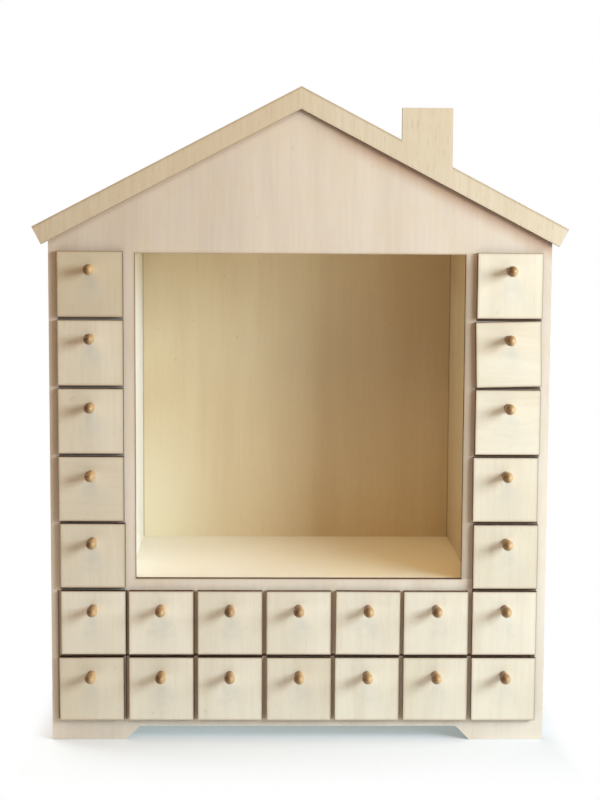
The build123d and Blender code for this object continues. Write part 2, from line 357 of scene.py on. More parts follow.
class StageSettings(PropertyGroup):
    """Table, lights and camera."""

    table_tint: colour_setting("Table", "Colour of the white table", (0.82, 0.81, 0.80))
    shade_tint: colour_setting("Shaded table", "Colour of the table seen near the house", (0.87, 0.93, 1.0))
    glow_tint: colour_setting("Glow tint", "Colour of the light that the table throws up", (0.60, 0.86, 1.0))
    glow: share_setting("Glow", "Level of the light that the table throws up near the house", 0.33)
    ambient_tint: colour_setting("Ambient tint", "Colour of the light from all round", (1.0, 0.50, 0.30))
    ambient: share_setting("Ambient", "Level of the light from all round", 0.045)
    key_tint: colour_setting("Key tint", "Colour of the low light from the right", (0.82, 0.945, 1.0))
    key_power: power_setting("Key power", "Power of the low light from the right", 17.2)
    key_turn: angle_setting("Key turn", "Angle of the key light to the right of the front", 60.0)
    key_rise: angle_setting("Key rise", "Angle of the key light above the table", 15.0)
    key_width: length_setting("Key width", "Width of the key light", 0.95)
    key_height: length_setting("Key height", "Height of the key light", 0.45)
    high_tint: colour_setting("High tint", "Colour of the high light", (1.0, 0.64, 0.28))
    high_power: power_setting("High power", "Power of the high light in front", 4.2)
    high_turn: angle_setting("High turn", "Angle of the high light to the right of the front", -10.0)
    high_rise: angle_setting("High rise", "Angle of the high light above the table", 55.0)
    high_size: length_setting("High size", "Width and height of the high light", 0.8)
    rear_tint: colour_setting("Rear tint", "Colour of the light behind the house", (0.95, 0.94, 0.90))
    rear_power: power_setting("Rear power", "Power of the light behind the house", 11.0)
    rear_turn: angle_setting("Rear turn", "Angle of the rear light to the right of the front", -138.0)
    rear_rise: angle_setting("Rear rise", "Angle of the rear light above the table", 36.0)
    rear_size: length_setting("Rear size", "Width and height of the rear light", 1.0)
    light_distance: length_setting("Light distance", "Distance of every light from the house", 1.05)
    lens: FloatProperty(name="Lens", description="Focal length", unit="CAMERA", default=79.71)


class Wire:
    """An output socket of a material, on which Python arithmetic adds Math nodes."""

    def __init__(self, tree, socket=None):
        self.tree = tree
        self.socket = socket

    def node(self, kind, settings=(), sockets=(), out=0):
        """Add any other node: its settings first, then the values or links of its sockets."""
        made = self.tree.nodes.new(kind)
        for name, value in dict(settings).items():
            setattr(made, name, value)
        for name, value in dict(sockets).items():
            if isinstance(value, Wire):
                self.tree.links.new(value.socket, made.inputs[name])
            else:
                made.inputs[name].default_value = value
        return Wire(self.tree, made.outputs[out])

    def math(self, operation, first, second=0.0):
        return self.node("ShaderNodeMath", {"operation": operation}, {0: first, 1: second})

    def __add__(self, other):
        return self.math("ADD", self, other)

    def __sub__(self, other):
        return self.math("SUBTRACT", self, other)

    def __rsub__(self, other):
        return self.math("SUBTRACT", other, self)

    def __mul__(self, other):
        return self.math("MULTIPLY", self, other)

    def __truediv__(self, other):
        return self.math("DIVIDE", self, other)

    def __abs__(self):
        return self.math("ABSOLUTE", self)

    __radd__ = __add__
    __rmul__ = __mul__

    def least(self, other):
        return self.math("MINIMUM", self, other)

    def most(self, other):
        return self.math("MAXIMUM", self, other)

    def share(self):
        """The value, kept between 0 and 1."""
        return self.least(1.0).most(0.0)

    def ramp(self, low, high):
        """0 below low, 1 above high, smooth between."""
        settings = {"interpolation_type": "SMOOTHSTEP"}
        return self.node("ShaderNodeMapRange", settings, {0: self, 1: low, 2: high, 3: 0.0, 4: 1.0})

    def above(self, limit):
        """1 where the value is over the limit, 0 elsewhere."""
        return self.math("GREATER_THAN", self, limit)

    def to_nearest(self):
        """How far the value is from the nearest whole number, from -0.5 to 0.5."""
        return self.math("FRACT", self + 0.5) - 0.5

    def pick(self, first, second):
        """The first value where this mask is 0, the second where it is 1."""
        return first + (second - first) * self

    def mix(self, first, second):
        """The first colour where this mask is 0, the second where it is 1."""
        colours = [c if isinstance(c, Wire) else (*c[:3], 1.0) for c in (first, second)]
        settings = {"data_type": "RGBA"}
        return self.node("ShaderNodeMix", settings, {0: self, 6: colours[0], 7: colours[1]}, out=2)

    def parts(self):
        """The three numbers of a vector."""
        first = self.node("ShaderNodeSeparateXYZ", sockets={0: self})
        return [Wire(self.tree, socket) for socket in first.socket.node.outputs]


def noise(place, size, shift=(0.0, 0.0, 0.0), detail=0.0, distortion=0.0):
    """Soft noise on three coordinates, each divided by its size and then shifted."""
    scaled = [part / length for part, length in zip(place, size)]
    moved = [part + move if move else part for part, move in zip(scaled, shift)]
    vector = place[0].node("ShaderNodeCombineXYZ", sockets=dict(enumerate(moved)))
    sockets = {"Vector": vector, "Scale": 1.0, "Detail": detail, "Distortion": distortion}
    return vector.node("ShaderNodeTexNoise", {"noise_dimensions": "3D"}, sockets)


class Finish:
    """A new material, with the place and the direction of each point of its surface."""

    def __init__(self, name):
        self.material = bpy.data.materials.new(name)
        self.material.use_nodes = True
        self.tree = self.material.node_tree
        self.shader = self.tree.nodes["Principled BSDF"]
        self.start = Wire(self.tree)
        self.x, self.y, self.z = self.start.node("ShaderNodeTexCoord", out="Object").parts()
        self.nx, self.ny, self.nz = self.start.node("ShaderNodeTexCoord", out="Normal").parts()

    def set(self, **values):
        """Link a varying socket of the shader, or write a plain number on it."""
        for name, value in values.items():
            socket = self.shader.inputs[name.replace("_", " ")]
            if isinstance(value, Wire):
                self.tree.links.new(value.socket, socket)
            else:
                socket.default_value = value

    def paint(self, obj):
        """Give this finish to every material slot of a piece."""
        if not obj.material_slots:
            obj.data.materials.append(self.material)
        for slot in obj.material_slots:
            slot.material = self.material


def plywood(finish, ply, woods, space, edge, depth, seed, warmth=0.0, marks=(), grain=1.0, gloss=FACE_GLOSS):
    """Plywood: figure, streaks, pores and clouds on its faces, and laser-browned cut edges.

    woods are the lighter and the darker wood, space is the place across the grain, along it
    and through the sheet, edge is 1 on a cut edge, depth runs from 0 to 1 through the sheet,
    warmth is how far the face goes to the darker wood, marks are further masks and colours on
    the face, grain is how strongly the grain shows, and gloss is the level of reflections.
    """
    shift = seed * SEED_SHIFT
    sideways, lengthways = (shift, 0.0, seed), (0.0, shift, seed)
    wander = noise(space, WANDER_SIZE, sideways, detail=1.0)
    swung = (wander * WANDER_SWING, shift, seed)
    figure_size = (ply.figure_width, ply.figure_length, FIGURE_THROUGH)
    figure = noise(space, figure_size, swung, detail=2.0, distortion=0.4)
    streak_size = (ply.streak_width, ply.streak_length, STREAK_THROUGH)
    streak = noise(space, streak_size, sideways, detail=3.0, distortion=0.3)
    pore = noise(space, (ply.pore_width, ply.pore_length, PORE_THROUGH), lengthways, detail=1.0)
    cloud = noise(space, (ply.cloud_size, CLOUD_STRETCH * ply.cloud_size, 1.0), sideways, detail=2.0)
    speck = noise(space, SPECK_SIZE, sideways, detail=0.0)

    calm = min(grain, 1.0)
    bands = (figure.ramp(*FIGURE_RANGE) * FIGURE_SHARE - FIGURE_MIDDLE) * calm
    lines = (streak.ramp(*STREAK_RANGE) * STREAK_SHARE - STREAK_MIDDLE) * grain
    tone = (bands + lines + FACE_TONE + warmth).share()
    face = tone.mix(*woods)
    face = (cloud.ramp(*CLOUD_RANGE) * (CLOUD_SHARE * calm)).mix(face, woods[1])
    face = (pore.ramp(*PORE_RANGE) * (PORE_SHARE * grain)).mix(face, ply.speck)
    face = (speck.ramp(*SPECK_RANGE) * SPECK_SHARE).mix(face, ply.speck)
    for mask, colour in marks:
        face = mask.mix(face, colour)

    burn = noise(space, BURN_SIZE, (0.0, 0.0, seed), detail=3.0)
    from_middle = abs(depth - SHEET_MIDDLE)
    glue = 1.0 - abs(from_middle - GLUE_FROM_MIDDLE).ramp(*GLUE_RANGE)
    core = 1.0 - from_middle.ramp(*CORE_RANGE)
    char = (burn.ramp(*BURN_RANGE) * BURN_SHARE + glue * GLUE_SHARE - core * CORE_SHARE + CUT_TONE).share()
    cut = char.mix(ply.toast_and_shade, ply.soot)

    face_rough = streak * FACE_ROUGH_SWING + ply.sheen - FACE_ROUGH_SWING / 2
    rough = edge.pick(face_rough, burn * CUT_ROUGH_SWING + CUT_ROUGHNESS)
    relief = edge.pick(streak * STREAK_RELIEF + pore * PORE_RELIEF, burn * BURN_RELIEF - glue * GLUE_RELIEF)
    sockets = {"Strength": BUMP_STRENGTH, "Distance": ply.relief, "Height": relief}
    finish.set(Base_Color=edge.mix(face, cut), Roughness=rough, Specular_IOR_Level=gloss)
    finish.set(Normal=finish.start.node("ShaderNodeBump", sockets=sockets))


def singed(ply, distance):
    """Mask of the brown line and the haze that lie beside a cut, from the distance to it."""
    line = 1.0 - distance.ramp(*SINGE_LINE)
    haze = 1.0 - distance.ramp(0.0, ply.singe_width)
    return line * SINGE_LINE_SHARE + haze * SINGE_HAZE_SHARE


def below_roof(finish):
    """How far a place lies below the top of the nearer roof slope, square to the slope."""
    return (RIDGE_TOP_Z - finish.z) * math.cos(ROOF_PITCH) - abs(finish.x) * math.sin(ROOF_PITCH)


def cut_edge(facing):
    """Mask of the cut edges of a sheet, from the part of the normal that faces out of the sheet."""
    return 1.0 - abs(facing).ramp(*EDGE_TURN)


def upright_sheet(finish):
    """Space and edge of a sheet that faces front, with its grain upright."""
    return (finish.x, finish.z, finish.y), cut_edge(finish.ny)


def side_sheet(finish):
    """Space and edge of a sheet that faces sideways, with its grain upright."""
    return (finish.y, finish.z, finish.x), cut_edge(finish.nx)


def lying_sheet(finish):
    """Space and edge of a sheet that lies flat, with its grain from front to back."""
    return (finish.x, finish.y, finish.z), cut_edge(finish.nz)


def lay_plywood(board, finish, ply, woods, sheet, depth, **face):
    """Give a board its plywood, at the board's own place in the noise."""
    space, edge = sheet
    plywood(finish, ply, woods, space, edge, depth, BOARD_SEEDS[board], **face)
    finish.paint(frame["nodes"][board])


class ADVENT_OT_cabinet(Operator):
    """Give every board of the cabinet its plywood"""

    bl_idname = "advent_house.cabinet"
    bl_label = "Finish cabinet"

    def execute(self, context):
        ply = context.scene.advent_plywood
        self.finish_front_panel(ply)
        self.finish_roof_trim(ply)
        self.finish_back_panel(ply)
        self.finish_side_panels(ply)
        self.finish_niche_walls(ply)
        self.finish_row_dividers(ply)
        self.finish_lying_boards(ply)
        self.finish_roof_boards(ply)
        return {"FINISHED"}

    def finish_front_panel(self, ply):
        """The front panel, singed round its window, with painted shade between and beside the drawer fronts
        and under the roof trim.
        """
        finish = Finish("plywood_front_panel")
        x, y, z = finish.x, finish.y, finish.z
        past_window = (abs(x) - WINDOW_HALF).most(z - WINDOW_HIGH).most(WINDOW_LOW - z)
        mottle = noise((x, z, y), MOTTLE_SIZE, detail=3.0, distortion=0.8)
        under_left, under_right = self.eaves_shade(finish)
        marks = [
            (mottle.ramp(*MOTTLE_RANGE) * MOTTLE_SHARE, ply.straw),
            (singed(ply, abs(past_window)), ply.singe_and_shade),
            # Painted shade between the drawer columns, on the stile and in the row gaps
            (self.column_gap_shade(finish), ply.singe_and_shade),
            (self.stile_shadow(finish), ply.singe_and_shade),
            (self.row_gap_shade(finish), ply.toast_and_shade),
            (self.column_line(finish), ply.soot),
            (under_left, ply.peach),
            (under_right, ply.umber),
        ]
        # Painted shade makes the panel darker towards the top and at the left of the gable, and painted light
        # makes it paler at the right
        upper = z.ramp(*UPPER_Z) * UPPER_SHADE
        foot = z.ramp(*FOOT_Z) * FOOT_DEEPER
        left_gable_shade = x.ramp(*LEFT_GABLE_X) * z.ramp(*LEFT_GABLE_Z) * LEFT_GABLE_SHADE
        right_margin_light = x.ramp(*RIGHT_MARGIN_X) * RIGHT_MARGIN_LIGHT
        deeper = upper + foot + left_gable_shade - right_margin_light - PANEL_PALER
        depth = (y - FACE_Y) / SHEET
        face = {"warmth": deeper, "marks": marks, "grain": PANEL_GRAIN}
        lay_plywood("front_panel", finish, ply, (ply.rose, ply.dusk), upright_sheet(finish), depth, **face)

    def finish_roof_trim(self, ply):
        """The roof trim, singed along both of its edges."""
        finish = Finish("plywood_roof_trim")
        below_top = below_roof(finish)
        beside_chimney = 1.0 - finish.x.above(CHIMNEY_LEFT) * (1.0 - finish.x.above(CHIMNEY_RIGHT))
        marks = [
            (singed(ply, abs(below_top - TRIM_WIDTH)), ply.singe_and_shade),
            (singed(ply, abs(below_top)) * beside_chimney * UPPER_SINGE, ply.singe_and_shade),
        ]
        deeper = finish.x.ramp(*TRIM_LEFT_X) * TRIM_LEFT_SHADE
        depth = (finish.y - FRONT_Y) / SHEET
        face = {"warmth": deeper, "marks": marks, "grain": TRIM_GRAIN}
        lay_plywood("roof_trim", finish, ply, (ply.wheat, ply.oat), upright_sheet(finish), depth, **face)

    def finish_back_panel(self, ply):
        """The back panel, whose inner face is the back of the niche."""
        finish = Finish("plywood_back_panel")
        x, y, z = finish.x, finish.y, finish.z
        inner = 1.0 - finish.ny.above(-FACING)
        corner = inner * (1.0 - abs(abs(x) - NICHE_WALL_X).ramp(*CORNER_LINE))
        band = noise((x, z, y), BAND_SIZE, BAND_SHIFT, detail=1.0).ramp(*BAND_RANGE)
        # Painted light makes the niche's left foot paler, and painted shade makes the niche's back browner to
        # the right
        left_foot_light = inner * x.ramp(*LEFT_FOOT_LIGHT_X) * z.ramp(*LEFT_FOOT_LIGHT_Z)
        marks = [(left_foot_light * LEFT_FOOT_LIGHT_SHARE, ply.lit_sand), (corner * CORNER_SHARE, ply.singe_and_shade)]
        right_top_shade = x.ramp(*RIGHT_TOP_X) * (z.ramp(*RIGHT_TOP_Z) * RIGHT_TOP_SHADE - RIGHT_FOOT_PALER)
        right = x.ramp(*RIGHT_BACK_X) * RIGHT_BACK_SHADE
        browner = band * BAND_SHARE + inner * (right + right_top_shade) - BACK_PALER
        depth = (y - BACK_Y) / SHEET
        face = {"warmth": browner, "marks": marks, "grain": BACK_GRAIN}
        lay_plywood("back_panel", finish, ply, (ply.cream, ply.straw), upright_sheet(finish), depth, **face)

    def finish_side_panels(self, ply):
        """The two side panels, in deeper wood than the front panel."""
        finish = Finish("plywood_side_panels")
        woods = (ply.rose, ply.dusk)
        depth = (abs(finish.x) - SIDE_X) / SHEET
        lay_plywood("side_panels", finish, ply, woods, side_sheet(finish), depth, warmth=SIDE_DEEPER)

    def finish_niche_walls(self, ply):
        """The niche's walls, yellower at the top with painted shade: the left one painted pale as if lit and
        greyer towards its front, the right one browner with painted shade.
        """
        finish = Finish("plywood_niche_walls")
        on_right = finish.x.above(0.0)
        lit_left_woods, shaded_right_woods = (ply.chalk, ply.linen), (ply.cream, ply.straw)
        woods = [on_right.mix(left, right) for left, right in zip(lit_left_woods, shaded_right_woods)]
        # Painted shade makes both walls yellower at the top and the right wall browner; the left wall is
        # greyer towards its front
        browner = finish.z.ramp(*WALL_TOP_Z) * WALL_TOP_SHADE + on_right * RIGHT_WALL_SHADE - WALL_PALER
        to_front = 1.0 - finish.y.ramp(FACE_Y, FACE_Y + FRONT_GREY_DEPTH)
        marks = [((1.0 - on_right) * to_front * FRONT_GREY_SHARE, ply.smudge)]
        depth = (abs(finish.x) - NICHE_WALL_X) / BOX_WALL
        face = {"warmth": browner, "marks": marks}
        lay_plywood("niche_walls", finish, ply, woods, side_sheet(finish), depth, **face)

    def finish_row_dividers(self, ply):
        """The upright dividers of the full rows, whose edges show the middle of the sheet."""
        finish = Finish("plywood_row_dividers")
        space, edge = side_sheet(finish)
        lay_plywood("row_dividers", finish, ply, (ply.pale, ply.tan), (space, edge), edge * SHEET_MIDDLE)

    def finish_lying_boards(self, ply):
        """Floors and shelves: the niche's floor and ceiling are painted paler than the hidden boards, as
        painted light, and all are browner to the right with painted shade.
        """
        hidden, niche = (ply.pale, ply.tan), (ply.ivory, ply.butter)
        boards = {
            "base_board": hidden,
            "row_shelves": hidden,
            "niche_floor": niche,
            "attic_floor": niche,
            "column_shelves": hidden,
        }
        for name, woods in boards.items():
            finish = Finish(f"plywood_{name}")
            low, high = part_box(name)
            depth = (finish.z - low.z) / (high.z - low.z)
            browner = finish.x.ramp(*LYING_X) * LYING_RIGHT_SHADE - LYING_PALER
            face = {"warmth": browner, "grain": LYING_GRAIN}
            lay_plywood(name, finish, ply, woods, lying_sheet(finish), depth, **face)

    def finish_roof_boards(self, ply):
        """The two roof boards, with their grain down the slopes and no glare along them."""
        finish = Finish("plywood_roof_boards")
        side = finish.x.math("SIGN", finish.x)
        slope_run = abs(finish.x) / math.cos(ROOF_PITCH)
        below_top = below_roof(finish)
        space = (finish.y, slope_run, below_top + side * SLOPES_APART)
        edge = cut_edge(finish.nx * side * math.sin(ROOF_PITCH) + finish.nz * math.cos(ROOF_PITCH))
        depth = below_top / SHEET
        lay_plywood("roof_boards", finish, ply, (ply.wheat, ply.oat), (space, edge), depth, gloss=0.0)

    def row_gap_shade(self, finish):
        """Mask of the painted shade on the panel, in the gaps between the rows of drawer fronts."""
        upper, lower, lowest = (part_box(f"drawer_{number}") for number in ("01", "03", "18"))
        gap_z = (upper[0].z + lower[1].z) / 2
        gap_half = (upper[0].z - lower[1].z) / 2
        pitch = upper[0].z - lower[0].z
        rows_down = (gap_z - finish.z) / pitch
        from_gap = abs(rows_down.to_nearest()) * pitch
        in_gap = 1.0 - from_gap.ramp(*(gap_half * reach for reach in GAP_SHADE_REACH))
        beside_window = abs(finish.x).above(-upper[1].x)
        full_row = 1.0 - finish.z.above(lowest[1].z + gap_half * FULL_ROW_MARGIN)
        across = 1.0 - abs(finish.x).above(-upper[0].x)
        between = rows_down.above(-0.5) * (1.0 - rows_down.above(ROW_GAPS - 0.5))
        column = beside_window * finish.x.above(0.0).pick(LEFT_GAP_SHADE, RIGHT_GAP_SHADE)
        return in_gap * column.most(full_row * FULL_ROW_GAP_SHADE) * across * between

    def eaves_shade(self, finish):
        """Masks of the warm shade on the panel under the two slopes of the roof trim."""
        below_trim = below_roof(finish) - TRIM_WIDTH
        to_right = finish.x.ramp(*EAVES_X)
        left = (1.0 - below_trim.ramp(0.0, LEFT_SHADE_REACH)) * (1.0 - to_right) * LEFT_SHADE
        right = (1.0 - below_trim.ramp(0.0, RIGHT_SHADE_REACH)) * to_right * RIGHT_SHADE
        line = (1.0 - below_trim.ramp(0.0, EAVES_LINE_REACH)) * (1.0 - to_right) * EAVES_LINE
        return left, right + line

    def stile_shadow(self, finish):
        """Mask of the painted shadow of the right drawer column on the panel, between the window and that
        column.
        """
        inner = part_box("drawer_02")[0].x
        beside = finish.x.above(WINDOW_HALF) * (1.0 - finish.x.above(inner)) * STILE_SHADOW
        upright = finish.z.above(WINDOW_LOW) * (1.0 - finish.z.ramp(WINDOW_HIGH - STILE_FADE, WINDOW_HIGH))
        return beside * upright

    def across_column_gap(self, finish):
        """Place across the nearest gap between two drawers of the full rows, and where such gaps are."""
        first, second = (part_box(f"drawer_{number}") for number in ("11", "12"))
        gap_x = (first[1].x + second[0].x) / 2
        pitch = second[0].x - first[0].x
        columns_along = (finish.x - gap_x) / pitch
        in_rows = (1.0 - finish.z.above(first[1].z)) * finish.z.above(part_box("drawer_18")[0].z)
        return columns_along.to_nearest() * pitch, in_rows

    def column_gap_shade(self, finish):
        """Mask of the painted warm shade on the panel, between the drawer fronts of the two full rows."""
        place, in_rows = self.across_column_gap(finish)
        return (1.0 - abs(place).ramp(*COLUMN_GAP_SHADE_X)) * in_rows * COLUMN_GAP_SHADE

    def column_line(self, finish):
        """Mask of the dark line on the panel, beside the drawer at the left of each such gap."""
        place, in_rows = self.across_column_gap(finish)
        return (1.0 - abs(place + COLUMN_LINE_LEFT).ramp(*COLUMN_LINE_X)) * in_rows * COLUMN_LINE


class ADVENT_OT_drawers(Operator):
    """Give every drawer its own piece of plywood, for its front and for its box"""

    bl_idname = "advent_house.drawers"
    bl_label = "Finish drawers"

    def execute(self, context):
        ply = context.scene.advent_plywood
        chance = random.Random(DRAWER_CHANCE)
        tones = {number: tone for tone, fronts in SHEETS.values() for number in fronts}
        for number in NUMBERS:
            self.finish_drawer(ply, number, chance.uniform(*DRAWER_SEEDS), tones[number])
        return {"FINISHED"}

    def finish_drawer(self, ply, number, seed, front_tone):
        """One finish for the front and the box, which are told apart by the plane of the front panel."""
        finish = Finish(f"plywood_drawer_{number}")
        x, y, z = finish.x, finish.y, finish.z
        low, high = (Vector(corner) for corner in INSIDES[f"drawer_{number}_inside"])
        inner_half = (high.x - low.x) / 2 + OPENING_MARGIN
        out = abs(x - (low.x + high.x) / 2)
        box = y.above(FACE_Y + FACE_MARGIN)
        front = 1.0 - box
        faces_side = abs(finish.nx).above(FACING)
        faces_end = abs(finish.ny).above(FACING)
        faces_up = abs(finish.nz).above(FACING)

        front_across, front_along = (z, x) if number in SIDEWAYS_GRAIN else (x, z)
        across = box.pick(front_across, faces_up.pick(z, x))
        along = box.pick(front_along, faces_end.pick(y, x))
        through = faces_side.pick(y, x)
        rim = faces_up * z.above(high.z - RIM_MARGIN)
        rear_end = faces_end * out.above(inner_half)
        bottom_edge = (1.0 - faces_up) * (1.0 - z.above(low.z - OPENING_MARGIN))
        edge = box.pick(cut_edge(finish.ny), rim.most(rear_end).most(bottom_edge))
        depth = box.pick((y - FRONT_Y) / SHEET, (out - inner_half) / BOX_WALL)

        middle, turn, width, height = self.front_place(number)
        right, up = x - middle.x, z - middle.z
        front_x = right * math.cos(turn) + up * math.sin(turn)
        front_z = up * math.cos(turn) - right * math.sin(turn)
        to_cut = (width / 2 - abs(front_x)).least(height / 2 - abs(front_z))
        spread_x, spread_z = front_x / SMUDGE_HALF_WIDTH, (front_z + SMUDGE_DROP) / SMUDGE_HALF_HEIGHT
        thumbed = 1.0 - (spread_x * spread_x + spread_z * spread_z).ramp(*SMUDGE_FADE)
        shift = (seed, 0.0, seed)
        blot = noise((x, z, y), BLOT_SIZE, shift, detail=2.0, distortion=0.5).ramp(*BLOT_RANGE)
        patch = noise((x, z, y), PATCH_SIZE, shift, detail=2.0, distortion=0.6).ramp(*PATCH_RANGE)
        marks = [
            (patch * PATCH_SHARE, ply.smudge),
            (thumbed * blot * front * SMUDGE_SHARE, ply.smudge),
            (singed(ply, to_cut) * front, ply.singe_and_shade),
        ]
        tone = box.pick(front_tone, BOX_TONE)
        plywood(finish, ply, (ply.pale, ply.tan), (across, along, through), edge, depth, seed, tone, marks)
        finish.paint(frame["nodes"][f"drawer_{number}"])

    def front_place(self, number):
        """Middle, turn, width and height of a drawer front, from the corners of its face."""
        points = [vertex.co for vertex in frame["nodes"][f"drawer_{number}"].data.vertices]
        face = [point for point in points if point.y < FACE_Y - SHEET / 2]
        top_left = max(face, key=lambda point: point.z - point.x)
        top_right = max(face, key=lambda point: point.z + point.x)
        low_left = min(face, key=lambda point: point.z + point.x)
        turn = math.atan2(top_right.z - top_left.z, top_right.x - top_left.x)
        width = (top_right - top_left).length
        height = (top_left - low_left).length
        return (top_right + low_left) / 2, turn, width, height


class ADVENT_OT_knobs(Operator):
    """Turn one wooden knob and put a copy of it on every drawer"""

    bl_idname = "advent_house.knobs"
    bl_label = "Turn knobs"

    def execute(self, context):
        knob = context.scene.advent_knobs
        finish = self.finish_knob(knob)
        model = self.turn_knob(knob)
        finish.paint(model)
        for number in NUMBERS:
            low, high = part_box(f"knob_{number}")
            bpy.ops.object.select_all(action="DESELECT")
            model.select_set(True)
            context.view_layer.objects.active = model
            bpy.ops.object.duplicate(linked=False)
            piece = context.view_layer.objects.active
            piece.name = f"turned_knob_{number}"
            piece.data.name = piece.name
            piece.location = ((low.x + high.x) / 2, 0.0, (low.z + high.z) / 2)
            bpy.ops.object.transform_apply(location=True, rotation=True, scale=True)
            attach(piece, f"drawer_{number}")
            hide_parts(f"knob_{number}")
        bpy.data.objects.remove(model, do_unlink=True)
        return {"FINISHED"}

    def profile(self, knob):
        """Whole reach, and the reach and radius of each ring from the tenon's end to near the tip."""
        low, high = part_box("knob_01")
        head_radius = (high.x - low.x) / 2
        reach = FRONT_Y - low.y
        middle = reach - knob.dome_length
        rings = [(FRONT_Y - high.y, knob.tenon_radius), (0.0, knob.tenon_radius), (0.0, knob.foot_radius)]
        stem_end = middle - knob.back_length * math.cos(KNOB_BACK_TURN)
        start, end = knob.foot_radius, head_radius * math.sin(KNOB_BACK_TURN)
        waist = 2 * knob.neck_radius - (start + end) / 2
        for step in range(1, STEM_STEPS):
            part = step / STEM_STEPS
            flare = start * (1 - part) ** 2 + end * part ** 2
            rings.append((stem_end * part, flare + 2 * part * (1 - part) * waist))
        for step in range(0, BACK_STEPS + 1):
            turn = KNOB_BACK_TURN + (math.pi / 2 - KNOB_BACK_TURN) * step / BACK_STEPS
            rings.append((middle - knob.back_length * math.cos(turn), head_radius * math.sin(turn)))
        for step in range(1, DOME_STEPS):
            turn = math.radians(90 * step / DOME_STEPS)
            rings.append((middle + knob.dome_length * math.sin(turn), head_radius * math.cos(turn)))
        return reach, rings

    def turn_knob(self, knob):
        """One knob, grown ring by ring from the tenon to the tip."""
        reach, rings = self.profile(knob)
        here, radius = rings[0]
        bpy.ops.object.select_all(action="DESELECT")
        bpy.ops.mesh.primitive_circle_add(
            vertices=knob.sides,
            radius=radius,
            fill_type="NGON",
            location=(0.0, FRONT_Y - here, 0.0),
            rotation=(math.radians(90), 0.0, 0.0),
        )
        model = bpy.context.view_layer.objects.active
        bpy.ops.object.transform_apply(location=True, rotation=True, scale=True)
        bpy.ops.object.mode_set(mode="EDIT")
        bpy.ops.mesh.select_all(action="SELECT")
        for next_reach, next_radius in rings[1:]:
            bpy.ops.mesh.extrude_region_move(TRANSFORM_OT_translate={"value": (0.0, here - next_reach, 0.0)})
            size = next_radius / radius
            centre = (0.0, FRONT_Y - next_reach, 0.0)
            bpy.ops.transform.resize(value=(size, 1.0, size), center_override=centre)
            here, radius = next_reach, next_radius
        bpy.ops.mesh.extrude_region_move(TRANSFORM_OT_translate={"value": (0.0, here - reach, 0.0)})
        bpy.ops.mesh.merge(type="CENTER")
        bpy.ops.mesh.select_all(action="DESELECT")
        bpy.ops.mesh.select_mode(type="EDGE")
        bpy.ops.mesh.select_non_manifold()
        bpy.ops.mesh.edge_face_add()
        bpy.ops.mesh.select_all(action="SELECT")
        bpy.ops.mesh.normals_make_consistent(inside=False)
        bpy.ops.mesh.select_mode(type="VERT")
        bpy.ops.object.mode_set(mode="OBJECT")
        bpy.ops.object.shade_smooth_by_angle(angle=SMOOTH_ANGLE)
        return model

    def finish_knob(self, knob):
        """Turned wood with its grain along the knob, pale on the right and dark on the left with painted
        shade.
        """
        finish = Finish("turned_wood")
        place = (finish.x, finish.y, finish.z)
        grain = noise(place, KNOB_GRAIN_SIZE, detail=3.0, distortion=0.5)
        lathe = noise(place, LATHE_SIZE, detail=1.0)
        batch = noise(place, BATCH_SIZE, detail=0.0)
        # Painted shade: the darker wood on the knob's left side
        shaded_side = finish.nx.ramp(*SHADED_SIDE_TURN) * SHADED_SIDE_SHARE
        fine = grain.ramp(*KNOB_GRAIN_RANGE) * KNOB_GRAIN_SHARE
        tone = (shaded_side + fine + batch.ramp(*BATCH_RANGE) * BATCH_SHARE - KNOB_PALER).share()
        height = grain * KNOB_GRAIN_RELIEF + lathe * LATHE_RELIEF
        sockets = {"Strength": KNOB_BUMP_STRENGTH, "Distance": KNOB_RELIEF, "Height": height}
        finish.set(Base_Color=tone.mix(knob.honey, knob.brown))
        finish.set(Roughness=grain * KNOB_ROUGH_SWING + KNOB_ROUGHNESS, Specular_IOR_Level=KNOB_GLOSS)
        finish.set(Normal=finish.start.node("ShaderNodeBump", sockets=sockets))
        return finish


